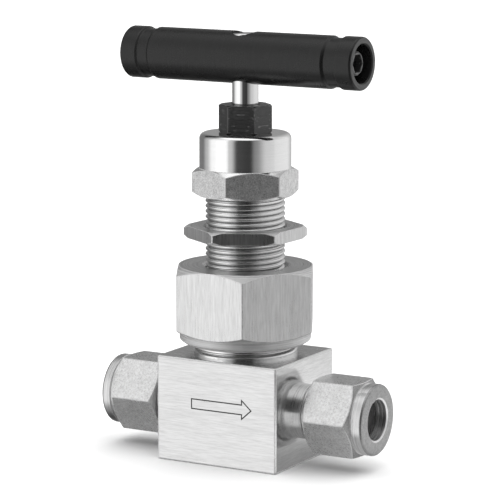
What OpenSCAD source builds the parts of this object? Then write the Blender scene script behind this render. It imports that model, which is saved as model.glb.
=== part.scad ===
// Union-bonnet needle valve with compression tube ends and a bar handle.
// +Z runs up the stem, +X is the flow direction, the marked face looks to -Y.
// The origin is the centre of the body block's base.

/* [Body] */
// Length of the body block along the flow
body_l = 32.2; // [31.6:0.1:34]
// Depth of the body block across the flow
body_w = 28; // [26.5:0.1:30]
// Height of the body block
body_h = 25.2; // [24.8:0.1:26]
// Height of the two ports above the base
port_z = 12.5; // [12:0.1:13]
// Bore of the two flow ports
port_d = 7.1; // [6.4:0.1:7.6]
// Bore of the seat orifice
orifice_d = 6.4; // [5.6:0.1:6.4]
// Chamfer along the edges of the block
edge_break = 0.35; // [0.15:0.05:0.6]
// Depth of the flow arrow's engraved outline
arrow_depth = 0.15; // [0.1:0.05:0.3]

/* [Bonnet] */
// Thread diameter of the body neck under the union nut
neck_d = 24.9; // [24.5:0.1:25.2]
// Thread pitch of the body neck under the union nut
neck_pitch = 1.59; // [1.4:0.01:1.6]
// Width across flats of the union nut
union_af = 31.75; // [31.5:0.05:33]
// Thread diameter of the bonnet
bonnet_d = 18.9; // [18.6:0.1:19]
// Width across flats of the panel nut
panel_nut_af = 25.4; // [23:0.1:27]
// Thickness of the panel nut
panel_nut_h = 2.9; // [2.4:0.1:3.4]
// Height of the panel nut's lower face above the base
panel_nut_z = 52.75; // [48:0.05:58]
// Width across flats of the bonnet cap
cap_af = 22.2; // [21.8:0.1:24]
// Diameter of the bonnet cap's round top
cap_d = 21.7; // [21:0.1:21.8]
// Width across flats of the packing bolt
bolt_af = 11.1; // [11.1:0.1:13]

/* [Stem and handle] */
// Diameter of the stem's bright shank
stem_d = 6.2; // [6:0.05:6.3]
// Pitch of the stem, bonnet and tube end threads
pitch = 1.27; // [1.1:0.01:1.3]
// Turns of the handle from open to shut
stem_turns = 3.25; // [2.5:0.25:3.25]
// Length of the bar handle
handle_l = 62.8; // [58:0.1:70]
// Diameter of the bar handle's end collars
handle_d = 12.4; // [12:0.1:13]
// Angle between the bar handle and the flow direction
handle_yaw = -1.5; // [-30:0.5:30]

/* [Tube ends] */
// Outside diameter of the tube that the ends take
tube_d = 9.53; // [9.4:0.01:9.53]
// Distance between the outer faces of the two tube nuts
face_to_face = 71; // [70:0.5:72]
// Width across flats of the tube nuts
nut_af = 17.46; // [17.4:0.02:19]

/* [Hidden] */
$fn = 96;

// Clearances, and the thread form as parts of the pitch
run_gap = 0.05;
thread_depth = 0.6;
crest_flat = 0.125;
hex_chamfer = 30;
eps = 0.01;

// Body levels and radii
seat_z = 19;
seat_lip_r = 3.8;
chamber_r = 7;
neck_r = neck_d / 2;
neck_top = 39;
neck_thread_z = 25.6;
socket_r = tube_d / 2 + 0.035;
port_r = port_d / 2;
orifice_r = orifice_d / 2;
inlet_end_x = 3.6;
outlet_end_x = 9;
riser_r = 2.2;
riser_foot = [11.5, 0, port_z];
riser_head = [6.4, 0, 21.5];

// Flow arrow outline on the face at -Y
arrow_z = 14.5;
arrow_tail_x = -6.8;
arrow_neck_x = 6.8;
arrow_tip_x = 9.8;
arrow_shaft_h = 2.7;
arrow_head_h = 5.3;
arrow_line = 0.4;

// Union nut levels
union_z = 28.2;
union_hex_z = 30.2;
union_top = 46.3;
union_collar_r = 15.5;
union_lip_r = bonnet_d / 2 + 0.15;
union_shoulder_z = 43.05;

// Bonnet levels and radii
bonnet_r = bonnet_d / 2;
bonnet_foot_z = 33;
bonnet_pilot_r = chamber_r - 0.1;
flange_z = 39.5;
flange_r = 11;
bonnet_thread_z = 44.2;
bonnet_top = 70.8;
packing_z = 47;
packing_r = 5.6;

// Cap levels
cap_z = 62.98;
cap_hex_top = 69.45;
cap_top = 77.8;
cap_round = 1.3;
cap_bore_top = 71;

// Packing bolt levels and radii
shank_r = packing_r - 0.1;
bolt_foot_z = 58;
bolt_top = 84.45;
wiper_z = 81.4;
wiper_h = 1.2;
wiper_r = 4.3;

// Packing stack, from the chamber floor up
ring_bore_r = 3.2;
ring_r = packing_r - run_gap;
adapter_h = 1.5;
chevron_h = 1.4;
chevron_rise = 0.5;
gland_z = packing_z + 2 * adapter_h + 3 * chevron_h + chevron_rise;

// Stem levels and radii, with the valve open
stem_r = stem_d / 2;
lower_stem_r = ring_bore_r - run_gap;
stem_lift = stem_turns * pitch;
needle_r = 4;
needle_tip_r = 1;
needle_angle = 30;
needle_gap = 0.05;
backseat_z = 32.5;
stem_split_z = 62.5;
button_r = 2.4;
button_neck_r = 1.6;
button_z = 65;
button_top = 67;
stem_thread_r = 3.9;
stem_thread_top = 76;
stem_top = 101.1;

// Handle
handle_z = 95.4;
handle_r = handle_d / 2;
handle_groove_r = handle_r - 0.48;
handle_collar_l = 4.4;
handle_groove_l = 3.5;
end_bore_r = 4.5;
end_bore_depth = 4.9;
screw_r = 2.95;
screw_set_back = 1.4;
screw_socket_af = 3.97;
screw_socket_depth = 3.5;

// Tube ends, measured from the stem axis along the flow
end_face = face_to_face / 2;
fitting_neck_r = 6.5;
fitting_thread_r = 7.1;
fitting_thread_u = 18.3;
fitting_nose_u = 30.5;
socket_u = 18.7;
mouth_u = 27.5;
mouth_r = 5.8;
nut_foot_u = 20.3;
nut_hex_end_u = 32.4;
nut_collar_u = 33.1;
nut_collar_r = 8.45;
nut_groove_r = 8.1;
nut_shoulder_u = 32.35;
nut_thread_end_u = 30.9;
nut_cavity_r = 6.3;
ferrule_r = 6.1;

// Solid of revolution about Z from its outline in radius and height
module turned(outline) {
  rotate_extrude() polygon(outline);
}

// Hexagonal bar standing on z0, with a corner at the given angle
module hex_bar(af, z0, z1, corner) {
  translate([0, 0, z0]) rotate([0, 0, corner])
    cylinder(h = z1 - z0, r = af / (2 * cos(30)), $fn = 6);
}

// Hexagonal bar with both ends turned down to the given radii
module hex_blank(af, z0, z1, corner, foot_r, top_r) {
  big_r = af / (2 * cos(30)) + 1;
  intersection() {
    hex_bar(af, z0, z1, corner);
    turned([
      [0, z0], [foot_r, z0], [big_r, z0 + (big_r - foot_r) * tan(hex_chamfer)],
      [big_r, z1 - (big_r - top_r) * tan(hex_chamfer)], [top_r, z1], [0, z1]
    ]);
  }
}

// Crest and root points of a thread of the given step between z0 and z1
function thread_outline(r, z0, z1, step) = [
  for (i = [0 : floor((z1 - z0) / step) - 1]) each [
    [r, z0 + i * step],
    [r, z0 + (i + crest_flat) * step],
    [r - thread_depth * step, z0 + (i + 0.5) * step],
    [r - thread_depth * step, z0 + (i + 0.5 + crest_flat) * step]
  ]
];

// Right-hand tube end: local +Z runs out along +X
module at_right_end() {
  translate([0, 0, port_z]) rotate([0, 90, 0]) children();
}

// Left-hand tube end: local +Z runs out along -X
module at_left_end() {
  translate([0, 0, port_z]) rotate([0, -90, 0]) children();
}

// Body block with its twelve edges chamfered
module block() {
  l = body_l;
  w = body_w;
  h = body_h;
  e = edge_break;
  intersection() {
    linear_extrude(h) chamfered_rectangle(l, w, e);
    translate([0, w / 2, h / 2]) rotate([90, 0, 0]) linear_extrude(w) chamfered_rectangle(l, h, e);
    translate([-l / 2, 0, h / 2]) rotate([90, 0, 90]) linear_extrude(l) chamfered_rectangle(w, h, e);
  }
}

module chamfered_rectangle(a, b, e) {
  x = a / 2;
  y = b / 2;
  polygon([
    [x, e - y], [x, y - e], [x - e, y], [e - x, y],
    [-x, y - e], [-x, e - y], [e - x, -y], [x - e, -y]
  ]);
}

// Outline of the flow arrow, grown by the given margin
module arrow(margin) {
  m = margin;
  slope = (arrow_head_h / 2) / (arrow_tip_x - arrow_neck_x);
  reach = sqrt(1 + slope * slope);
  tip_x = arrow_tip_x + m * reach / slope;
  head_y = slope * (tip_x - arrow_neck_x + m);
  polygon([
    [arrow_tail_x - m, -arrow_shaft_h / 2 - m],
    [arrow_neck_x - m, -arrow_shaft_h / 2 - m],
    [arrow_neck_x - m, -head_y],
    [tip_x, 0],
    [arrow_neck_x - m, head_y],
    [arrow_neck_x - m, arrow_shaft_h / 2 + m],
    [arrow_tail_x - m, arrow_shaft_h / 2 + m]
  ]);
}

module arrow_groove() {
  translate([0, arrow_depth - body_w / 2, arrow_z]) rotate([90, 0, 0])
    linear_extrude(1) difference() {
      arrow(0);
      arrow(-arrow_line);
    }
}

// Threaded nose that takes a tube nut, out to the end of the thread
module fitting_end() {
  turned(concat(
    [[0, 10], [fitting_neck_r, 10], [fitting_neck_r, fitting_thread_u - 0.5]],
    thread_outline(fitting_thread_r, fitting_thread_u, fitting_nose_u - 0.4, pitch),
    [[fitting_thread_r, fitting_nose_u - 1.2], [fitting_thread_r - 0.7, fitting_nose_u],
     [0, fitting_nose_u]]
  ));
}

// Port, tube socket and ferrule mouth, from inner_u outwards
module fitting_bore(inner_u) {
  translate([0, 0, inner_u]) cylinder(h = end_face - inner_u, r = port_r);
  translate([0, 0, socket_u]) cylinder(h = end_face - socket_u, r = socket_r);
  turned([
    [0, mouth_u], [socket_r, mouth_u], [mouth_r, fitting_nose_u],
    [mouth_r, fitting_nose_u + 1], [0, fitting_nose_u + 1]
  ]);
}

// Bore between two points in the XZ plane
module slanted_bore(foot, head, r) {
  run = head - foot;
  translate(foot) rotate([0, atan2(run[0], run[2]), 0]) cylinder(h = norm(run), r = r);
}

module valve_body() {
  color("silver") difference() {
    union() {
      block();
      turned(concat(
        [[0, 1], [neck_r - 0.9, 1], [neck_r - 0.9, neck_thread_z - 0.3]],
        thread_outline(neck_r, neck_thread_z, neck_top - 0.6, neck_pitch),
        [[neck_r - 0.6, neck_top - 0.6], [neck_r - 1, neck_top], [0, neck_top]]
      ));
      at_right_end() fitting_end();
      at_left_end() fitting_end();
    }
    translate([0, 0, seat_z]) cylinder(h = neck_top, r = chamber_r);
    translate([0, 0, port_z]) cylinder(h = body_h, r = orifice_r);
    turned([
      [0, seat_z - (seat_lip_r - orifice_r) / tan(needle_angle)],
      [orifice_r, seat_z - (seat_lip_r - orifice_r) / tan(needle_angle)],
      [seat_lip_r, seat_z], [0, seat_z]
    ]);
    at_left_end() fitting_bore(-inlet_end_x);
    at_right_end() fitting_bore(outlet_end_x);
    slanted_bore(riser_foot, riser_head, riser_r);
    arrow_groove();
  }
}

module union_nut() {
  corner = -2.4;
  color("gainsboro") difference() {
    union() {
      hex_blank(union_af, union_hex_z, union_top, corner, union_collar_r, union_af / 2 - 0.1);
      turned([
        [0, union_z], [union_collar_r - 1.6, union_z], [union_collar_r - 0.5, union_z + 0.5],
        [union_collar_r, union_z + 1.3], [union_collar_r, union_hex_z + 0.5], [0, union_hex_z + 0.5]
      ]);
    }
    turned([
      [0, union_z - 1], [neck_r + 0.75, union_z - 1], [neck_r + 0.75, union_z],
      [neck_r + run_gap, union_z + 0.7], [neck_r + run_gap, neck_top + 0.2],
      [flange_r + 0.1, neck_top + 0.2], [flange_r + 0.1, union_shoulder_z],
      [union_lip_r, union_shoulder_z], [union_lip_r, union_top - 0.7],
      [union_lip_r + 0.7, union_top], [union_lip_r + 0.7, union_top + 1], [0, union_top + 1]
    ]);
  }
}

module bonnet() {
  color("silver") turned(concat(
    [[ring_bore_r, bonnet_foot_z], [bonnet_pilot_r - 0.4, bonnet_foot_z],
     [bonnet_pilot_r, bonnet_foot_z + 0.4], [bonnet_pilot_r, flange_z], [flange_r, flange_z],
     [flange_r, union_shoulder_z - run_gap], [bonnet_r - 0.4, union_shoulder_z - run_gap],
     [bonnet_r - 0.4, bonnet_thread_z - 0.3]],
    thread_outline(bonnet_r, bonnet_thread_z, bonnet_top - 0.8, pitch),
    [[bonnet_r - 0.5, bonnet_top - 0.8], [bonnet_r - 0.9, bonnet_top], [packing_r, bonnet_top],
     [packing_r, packing_z], [ring_bore_r, packing_z]]
  ));
}

module bonnet_gasket() {
  color("white") turned([
    [chamber_r + 0.2, neck_top], [10.4, neck_top], [10.4, flange_z], [chamber_r + 0.2, flange_z]
  ]);
}

module bonnet_cap() {
  corner = 38.4;
  r = cap_d / 2;
  color("gainsboro") difference() {
    union() {
      hex_blank(cap_af, cap_z, cap_hex_top, corner, cap_af / 2, cap_af / 2);
      turned(concat(
        [[0, cap_z], [r - 0.6, cap_z], [r, cap_z + 0.6]],
        [for (i = [0 : 8]) [
          r - cap_round + cap_round * cos(i * 90 / 8),
          cap_top - cap_round + cap_round * sin(i * 90 / 8)
        ]],
        [[0, cap_top]]
      ));
    }
    turned([
      [0, cap_z - 1], [bonnet_r + 0.65, cap_z - 1], [bonnet_r + 0.65, cap_z],
      [bonnet_r + run_gap, cap_z + 0.6], [bonnet_r + run_gap, cap_bore_top],
      [shank_r + run_gap, cap_bore_top], [shank_r + run_gap, cap_top + 1], [0, cap_top + 1]
    ]);
  }
}

module packing_bolt() {
  corner = 19.5;
  color("dimgray") difference() {
    union() {
      hex_blank(bolt_af, cap_top, bolt_top, corner, bolt_af / 2 + 0.6, bolt_af / 2 + 0.3);
      translate([0, 0, bolt_foot_z]) cylinder(h = bolt_top - bolt_foot_z - 2, r = shank_r);
    }
    turned([
      [0, bolt_foot_z - 1], [stem_thread_r + run_gap, bolt_foot_z - 1],
      [stem_thread_r + run_gap, wiper_z - 1.2], [stem_r + run_gap, wiper_z - 1.2],
      [stem_r + run_gap, wiper_z], [wiper_r, wiper_z], [wiper_r, wiper_z + wiper_h],
      [stem_r + run_gap, wiper_z + wiper_h], [stem_r + run_gap, bolt_top - 0.4],
      [stem_r + 0.45, bolt_top], [stem_r + 0.45, bolt_top + 1], [0, bolt_top + 1]
    ]);
  }
}

// Rubber ring in the packing bolt that wipes the stem
module stem_wiper() {
  ring = (wiper_h - 0.1) / 2;
  color("black") translate([0, 0, wiper_z + wiper_h / 2])
    rotate_extrude() translate([stem_r + run_gap + ring, 0]) circle(r = ring, $fn = 32);
}

module packing_gland() {
  rim = 0.4;
  color("silver") turned([
    [ring_bore_r, gland_z], [ring_r, gland_z], [ring_r, bolt_foot_z - rim],
    [ring_r - rim, bolt_foot_z], [ring_bore_r, bolt_foot_z]
  ]);
}

// Flat-bottomed ring whose top follows the chevron rings
module lower_packing_adapter() {
  mid = (ring_bore_r + ring_r) / 2;
  top = packing_z + adapter_h;
  color("ivory") turned([
    [ring_bore_r, packing_z], [ring_r, packing_z], [ring_r, top],
    [mid, top + chevron_rise], [ring_bore_r, top]
  ]);
}

// One V-section packing ring, counted from the bottom
module chevron_ring(index) {
  mid = (ring_bore_r + ring_r) / 2;
  foot = packing_z + adapter_h + index * chevron_h + eps;
  top = foot + chevron_h - 2 * eps;
  turned([
    [ring_bore_r, foot], [mid, foot + chevron_rise], [ring_r, foot],
    [ring_r, top], [mid, top + chevron_rise], [ring_bore_r, top]
  ]);
}

module lower_chevron_ring() {
  color("white") chevron_ring(0);
}

module middle_chevron_ring() {
  color("white") chevron_ring(1);
}

module upper_chevron_ring() {
  color("white") chevron_ring(2);
}

module upper_packing_adapter() {
  mid = (ring_bore_r + ring_r) / 2;
  foot = packing_z + adapter_h + 3 * chevron_h;
  color("ivory") turned([
    [ring_bore_r, foot], [mid, foot + chevron_rise], [ring_r, foot],
    [ring_r, gland_z], [ring_bore_r, gland_z]
  ]);
}

// Needle, back-seat shoulder and button head of the non-rotating stem
module lower_stem() {
  slope = tan(needle_angle);
  shut_contact_z = seat_z + stem_lift + needle_gap / sin(needle_angle);
  tip_z = shut_contact_z - (seat_lip_r - needle_tip_r) / slope;
  cone_top = shut_contact_z + (needle_r - seat_lip_r) / slope;
  color("gainsboro") turned([
    [0, tip_z], [needle_tip_r, tip_z], [needle_r, cone_top], [needle_r, backseat_z - 3.6],
    [needle_r + 0.6, backseat_z - 3], [needle_r + 0.6, backseat_z - 1],
    [lower_stem_r, backseat_z + 0.4], [lower_stem_r, stem_split_z - 0.1],
    [button_neck_r, stem_split_z - 0.1], [button_neck_r, button_z], [button_r, button_z],
    [button_r, button_top - 0.4], [button_r - 0.4, button_top], [0, button_top]
  ]);
}

// Side slot that slips over the lower stem's button head
module button_slot(r, z0, z1) {
  translate([0, 0, z0]) cylinder(h = z1 - z0, r = r);
  translate([0, -r, z0]) cube([stem_thread_r + 1, 2 * r, z1 - z0]);
}

module upper_stem() {
  gap = 0.1;
  tip = 0.35;
  color("gainsboro") difference() {
    turned([
      [0, stem_split_z], [stem_thread_r - 0.5, stem_split_z], [stem_thread_r, stem_split_z + 0.5],
      [stem_thread_r, stem_thread_top - 0.6], [stem_r, stem_thread_top],
      [stem_r, stem_top - tip], [stem_r - tip, stem_top], [0, stem_top]
    ]);
    button_slot(button_neck_r + gap, stem_split_z - 1, button_z);
    button_slot(button_r + gap, button_z - gap, button_top + gap);
  }
}

// Places children with local +Z along the bar handle
module along_handle() {
  translate([0, 0, handle_z]) rotate([0, 0, handle_yaw]) rotate([0, 90, 0]) children();
}

module handle_bar() {
  half = handle_l / 2;
  round_r = 0.5;
  groove_out = half - handle_collar_l;
  groove_in = groove_out - handle_groove_l;
  ramp = 0.5;
  half_outline = concat(
    [for (i = [0 : 4]) [
      handle_r - round_r + round_r * cos(90 - i * 22.5),
      half - round_r + round_r * sin(90 - i * 22.5)
    ]],
    [[handle_r, groove_out + 0.1], [handle_groove_r, groove_out - 0.2],
     [handle_groove_r, groove_in + ramp], [handle_r, groove_in]]
  );
  mirrored = [for (i = [len(half_outline) - 1 : -1 : 0]) [half_outline[i][0], -half_outline[i][1]]];
  color("#26272a") difference() {
    along_handle() turned(concat([[0, half]], half_outline, mirrored, [[0, -half]]));
    along_handle() for (end = [0, 180]) rotate([end, 0, 0]) turned([
      [0, half - end_bore_depth], [end_bore_r, half - end_bore_depth],
      [end_bore_r, half - 0.3], [end_bore_r + 0.3, half], [end_bore_r + 0.3, half + 1],
      [0, half + 1]
    ]);
    along_handle() cylinder(h = half, r = screw_r + run_gap);
    translate([0, 0, handle_z - handle_r - 1]) cylinder(h = handle_d + 2, r = stem_r + run_gap);
  }
}

module handle_set_screw() {
  end = handle_l / 2 - screw_set_back;
  tip = stem_r + run_gap;
  chamfer = 0.4;
  color("dimgray") along_handle() difference() {
    turned([
      [0, tip], [screw_r - 1, tip], [screw_r, tip + 1], [screw_r, end - chamfer],
      [screw_r - chamfer, end], [0, end]
    ]);
    hex_bar(screw_socket_af, end - screw_socket_depth, end + 1, 30);
  }
}

module panel_nut() {
  corner = 27.7;
  top = panel_nut_z + panel_nut_h;
  flat_r = panel_nut_af / (2 * cos(30)) - 0.45;
  r = bonnet_r + run_gap;
  color("silver") difference() {
    hex_blank(panel_nut_af, panel_nut_z, top, corner, flat_r, flat_r);
    turned([
      [0, panel_nut_z - 1], [r + 0.5, panel_nut_z - 1], [r + 0.5, panel_nut_z],
      [r, panel_nut_z + 0.5], [r, top - 0.5], [r + 0.5, top], [r + 0.5, top + 1], [0, top + 1]
    ]);
  }
}

// Tube nut about local +Z, with two of its flats level
module tube_nut() {
  bore_r = socket_r + run_gap;
  thread_r = fitting_thread_r + run_gap;
  color("gainsboro") difference() {
    union() {
      hex_blank(nut_af, nut_foot_u, nut_hex_end_u, 90, nut_af / 2 - 0.1, nut_af / 2 - 0.3);
      turned([
        [0, nut_foot_u + 2], [nut_groove_r, nut_foot_u + 2], [nut_groove_r, nut_collar_u],
        [nut_collar_r, nut_collar_u + 0.2], [nut_collar_r, end_face - 0.5],
        [nut_collar_r - 0.15, end_face - 0.15], [nut_collar_r - 0.5, end_face], [0, end_face]
      ]);
    }
    turned([
      [0, nut_foot_u - 1], [thread_r + 0.6, nut_foot_u - 1], [thread_r + 0.6, nut_foot_u],
      [thread_r, nut_foot_u + 0.6], [thread_r, nut_thread_end_u],
      [nut_cavity_r, nut_thread_end_u], [nut_cavity_r, nut_shoulder_u],
      [bore_r, nut_shoulder_u], [bore_r, end_face - 0.4], [bore_r + 0.4, end_face],
      [bore_r + 0.4, end_face + 1], [0, end_face + 1]
    ]);
  }
}

// Cone that seals between the tube and the body's mouth
module front_ferrule() {
  slope = (mouth_r - socket_r) / (fitting_nose_u - mouth_u);
  nose_u = mouth_u + 0.8;
  nose_r = socket_r + slope * (nose_u - mouth_u) - run_gap;
  back_u = 31.4;
  color("silver") turned([
    [socket_r, nose_u], [nose_r, nose_u], [mouth_r - run_gap, fitting_nose_u],
    [ferrule_r, fitting_nose_u + 0.1], [ferrule_r, back_u], [5.4, back_u],
    [socket_r, back_u - 0.7]
  ]);
}

// Ring that drives the front ferrule and grips the tube
module back_ferrule() {
  front_u = 31.45;
  color("silver") turned([
    [socket_r, front_u - 0.65], [5.33, front_u], [ferrule_r, front_u],
    [ferrule_r, nut_shoulder_u - run_gap], [socket_r, nut_shoulder_u - run_gap]
  ]);
}

module left_nut() {
  at_left_end() tube_nut();
}

module left_front_ferrule() {
  at_left_end() front_ferrule();
}

module left_back_ferrule() {
  at_left_end() back_ferrule();
}

module right_nut() {
  at_right_end() tube_nut();
}

module right_front_ferrule() {
  at_right_end() front_ferrule();
}

module right_back_ferrule() {
  at_right_end() back_ferrule();
}

valve_body();
union_nut();
bonnet();
bonnet_gasket();
bonnet_cap();
packing_bolt();
stem_wiper();
packing_gland();
upper_packing_adapter();
upper_chevron_ring();
middle_chevron_ring();
lower_chevron_ring();
lower_packing_adapter();
lower_stem();
upper_stem();
handle_bar();
handle_set_screw();
panel_nut();
left_nut();
left_front_ferrule();
left_back_ferrule();
right_nut();
right_front_ferrule();
right_back_ferrule();
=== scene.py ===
"""Needle valve: the visible pieces, their materials and a small studio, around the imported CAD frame."""

import math

import bmesh
import bpy
from mathutils import Matrix, Vector


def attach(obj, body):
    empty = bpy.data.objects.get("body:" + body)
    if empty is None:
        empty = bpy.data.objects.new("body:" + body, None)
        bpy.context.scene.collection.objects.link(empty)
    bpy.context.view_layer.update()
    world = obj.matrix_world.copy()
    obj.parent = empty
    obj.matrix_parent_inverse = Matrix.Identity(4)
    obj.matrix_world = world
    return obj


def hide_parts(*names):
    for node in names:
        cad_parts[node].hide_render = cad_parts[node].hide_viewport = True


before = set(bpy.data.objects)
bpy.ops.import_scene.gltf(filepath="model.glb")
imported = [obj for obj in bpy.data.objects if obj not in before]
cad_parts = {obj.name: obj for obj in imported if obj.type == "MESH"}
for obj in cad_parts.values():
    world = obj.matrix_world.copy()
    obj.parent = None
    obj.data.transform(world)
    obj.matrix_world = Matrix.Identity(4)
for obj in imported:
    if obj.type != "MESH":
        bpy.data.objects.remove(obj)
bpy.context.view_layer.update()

MM = 0.001
TAU = 2 * math.pi
COS30 = math.cos(math.radians(30))
TAN30 = math.tan(math.radians(30))

# Sizes are in millimetres and angles in degrees, unless a comment says otherwise.

# Body
BODY_L, BODY_W, BODY_H = 32.2, 28.0, 25.2
BODY_BEVEL = 0.45
PORT_Z = 12.5
ARROW_Z = 14.5

# Threads: (start, end, outer radius, depth) along the axis
PITCH = 1.27
NECK_PITCH = 1.5875
TUBE_THREAD = (18.1, 30.1, 7.1, 0.66)
NECK_THREAD = (25.7, 38.4, 12.45, 0.5)
BONNET_THREAD = (44.2, 70.0, 9.45, 0.7)

# Hexagons: (width across flats, angle of a corner, rounding of the corners)
UNION_HEX = (31.75, -2.4, 0.5)
PANEL_HEX = (25.4, 27.7, 0.4)
CAP_HEX = (22.2, 38.4, 0.45)
BOLT_HEX = (11.1, 19.5, 0.3)
TUBE_NUT_HEX = (17.46, 90, 0.35)
SOCKET_HEX = (3.97, 30, 0.08)

# Handle
HANDLE_Z = 95.4
HANDLE_HALF = 31.4
HANDLE_R = 6.2
HANDLE_YAW = -1.5

# Camera
CAMERA_AZ = 29.76
CAMERA_EL = 9.54
CAMERA_DISTANCE = 614.8
CAMERA_TARGET = (1.258, 0.0, 49.8)
CAMERA_LENS = 187.1
CAMERA_SENSOR = 36.0


# ---------------------------------------------------------------- sections

# Corners rounded by less than this get the edge tag
EDGE_LIMIT = 0.5


def corner_arc(before, here, after, radius, steps):
    """Points of the arc that rounds one corner, or the corner itself repeated where there is no room."""
    here = Vector(here)
    back = Vector(before) - here
    ahead = Vector(after) - here
    # Two arcs on one side share it, so each takes a little less than half
    room = 0.48 * min(back.length, ahead.length)
    if room < 1e-7:
        return [tuple(here)] * (steps + 1)
    back.normalize()
    ahead.normalize()
    half = math.acos(max(-1.0, min(1.0, back.dot(ahead)))) / 2
    if half > math.radians(89):
        return [tuple(here)] * (steps + 1)
    reach = min(radius / math.tan(half), room)
    radius = reach * math.tan(half)
    middle = here + (back + ahead).normalized() * (radius / math.sin(half))
    start = here + back * reach - middle
    end = here + ahead * reach - middle
    directions = [start.slerp(end, k / steps, start).normalized() for k in range(steps + 1)]
    return [tuple(middle + direction * radius) for direction in directions]


def rounded_path(points, steps=3):
    """Rows (x, y, tag) of a path given as (x, y, rounding, tag of the stretch that follows)."""
    rows = []
    for i, (x, y, radius, tag) in enumerate(points):
        if radius <= 0 or i in (0, len(points) - 1):
            rows.append((x, y, tag))
            continue
        arc = corner_arc(points[i - 1][:2], (x, y), points[i + 1][:2], radius, steps)
        rows += [(*point, "edge" if radius < EDGE_LIMIT else tag) for point in arc[:-1]]
        rows.append((*arc[-1], tag))
    return rows


def tagged(points, tag):
    """Rows (x, y, tag) of a sharp path with one tag."""
    return [(x, y, tag) for x, y in points]


def hex_corner(af, rounding):
    """Distance from the axis to the centre of a hexagon's corner arc, and half the angle the arc takes."""
    middle = (af / 2 - rounding) / COS30
    return middle, math.atan2(rounding * 0.5, middle + rounding * COS30)


def hex_angles(af, corner, rounding, per_flat, per_corner):
    """Angles that sample a hexagon's flats evenly and its rounded corners closely."""
    _, swing = hex_corner(af, rounding)
    edge = af / 2 * math.tan(math.radians(30) - swing)
    found = []
    for k in range(6):
        centre = math.radians(corner + 60 * k)
        for i in range(per_corner):
            found.append(centre + swing * (2 * i / per_corner - 1))
        flat = centre + math.radians(30)
        for i in range(per_flat):
            found.append(flat + math.atan2(edge * (2 * i / per_flat - 1), af / 2))
    return found


def hex_radius(angle, af, corner, rounding):
    """Distance from the axis to a hexagon with rounded corners."""
    off = math.radians(abs((math.degrees(angle) - corner + 30) % 60 - 30))
    middle, swing = hex_corner(af, rounding)
    if off >= swing:
        return af / 2 / math.cos(math.radians(30) - off)
    return middle * math.cos(off) + math.sqrt(max(0.0, rounding ** 2 - (middle * math.sin(off)) ** 2))


def chamfer(r, circle):
    """Height that a nut's 30 degree chamfer takes from its circle out to the radius r."""
    return (r - circle) * TAN30


def round_angles(count):
    """Even angles round the axis."""
    return [TAU * i / count for i in range(count)]


# Thread form: (share of the pitch, share of the depth below the crest)
THREAD_FORM = ((0.0, 0.14), (0.07, 0.05), (0.17, 0.0), (0.27, 0.05), (0.34, 0.14), (0.43, 0.32),
               (0.52, 0.57), (0.61, 0.86), (0.67, 1.0), (0.73, 0.86), (0.82, 0.57), (0.91, 0.32))
TURN_ROWS = len(THREAD_FORM)
# Share of the depth below which a thread's groove takes the root look: rougher, and darker with painted shade
ROOT_SHARE = 0.8


def thread_drop(phase):
    """Share of the thread's depth at a phase from 0 to 1."""
    form = THREAD_FORM + ((1.0, THREAD_FORM[0][1]),)
    for (a, drop_a), (b, drop_b) in zip(form, form[1:]):
        if a <= phase <= b:
            return drop_a + (drop_b - drop_a) * (phase - a) / (b - a)
    return 0.0


def thread_rows(angle, z0, z1, radius, depth, ends, pitch=PITCH):
    """Rows (r, z, tag) of a right-hand thread at one angle.

    The rows follow the helix, and stop at z0 and z1. ends is how far the two ends are chamfered.
    """
    turns = math.ceil((z1 - z0) / pitch) + 1
    lead = angle / TAU
    heights = [z0 + pitch * (turn + phase + lead) for turn in range(-1, turns) for phase, _ in THREAD_FORM]
    heights.append(z0 + pitch * (turns + lead))
    rows = []
    for z in heights:
        z = min(max(z, z0), z1)
        r = radius - depth * thread_drop(((z - z0) / pitch - lead) % 1.0)
        low = radius - ends[0] + (z - z0)
        high = radius - ends[1] + (z1 - z)
        tag = "root*" if r < radius - depth * ROOT_SHARE else "turned*"
        rows.append((min(r, low, high), z, tag))
    rows[-1] = (*rows[-1][:2], "turned")
    return rows


# ---------------------------------------------------------------- meshes

# Which material slot of its piece a section row's surface takes
TAG_SLOT = {"flat": 0, "turned": 1, "inside": 2, "edge": 3, "faced": 4, "rim": 5, "root": 6}
# Samples along each flat and round each corner of a hexagon
FLAT_STEPS = 14
CORNER_STEPS = 4
# Edges that bend more than this stay sharp
SHARP_ANGLE = 38.0


def add_object(name, data):
    """New object in the scene."""
    obj = bpy.data.objects.new(name, data)
    bpy.context.scene.collection.objects.link(obj)
    return obj


def mesh_from(bm, name):
    """Mesh made from a bmesh, which is used up."""
    mesh = bpy.data.meshes.new(name)
    bm.to_mesh(mesh)
    bm.free()
    return mesh


def thread_ends(threaded):
    """For each row of a thread, the row after its thread's last one. Other rows get 0."""
    ends = [0] * len(threaded)
    end = 0
    for i in reversed(range(len(threaded))):
        if threaded[i]:
            end = end or i + 1
            ends[i] = end
        else:
            end = 0
    return ends


def add_face(bm, corners, slot):
    """One face, unless fewer than three of its corners differ or it is there already."""
    distinct = []
    for corner in corners:
        if corner not in distinct:
            distinct.append(corner)
    if len(distinct) < 3:
        return
    try:
        face = bm.faces.new(distinct)
    except ValueError:
        return
    face.material_index = slot


def clean(bm):
    """Merges what coincides, drops what is left over and turns the faces outward."""
    bmesh.ops.remove_doubles(bm, verts=bm.verts, dist=2e-7)
    bmesh.ops.dissolve_degenerate(bm, edges=bm.edges, dist=1e-7)
    loose = [v for v in bm.verts if not v.link_faces]
    bmesh.ops.delete(bm, geom=loose, context="VERTS")
    bmesh.ops.recalc_face_normals(bm, faces=bm.faces)


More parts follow.
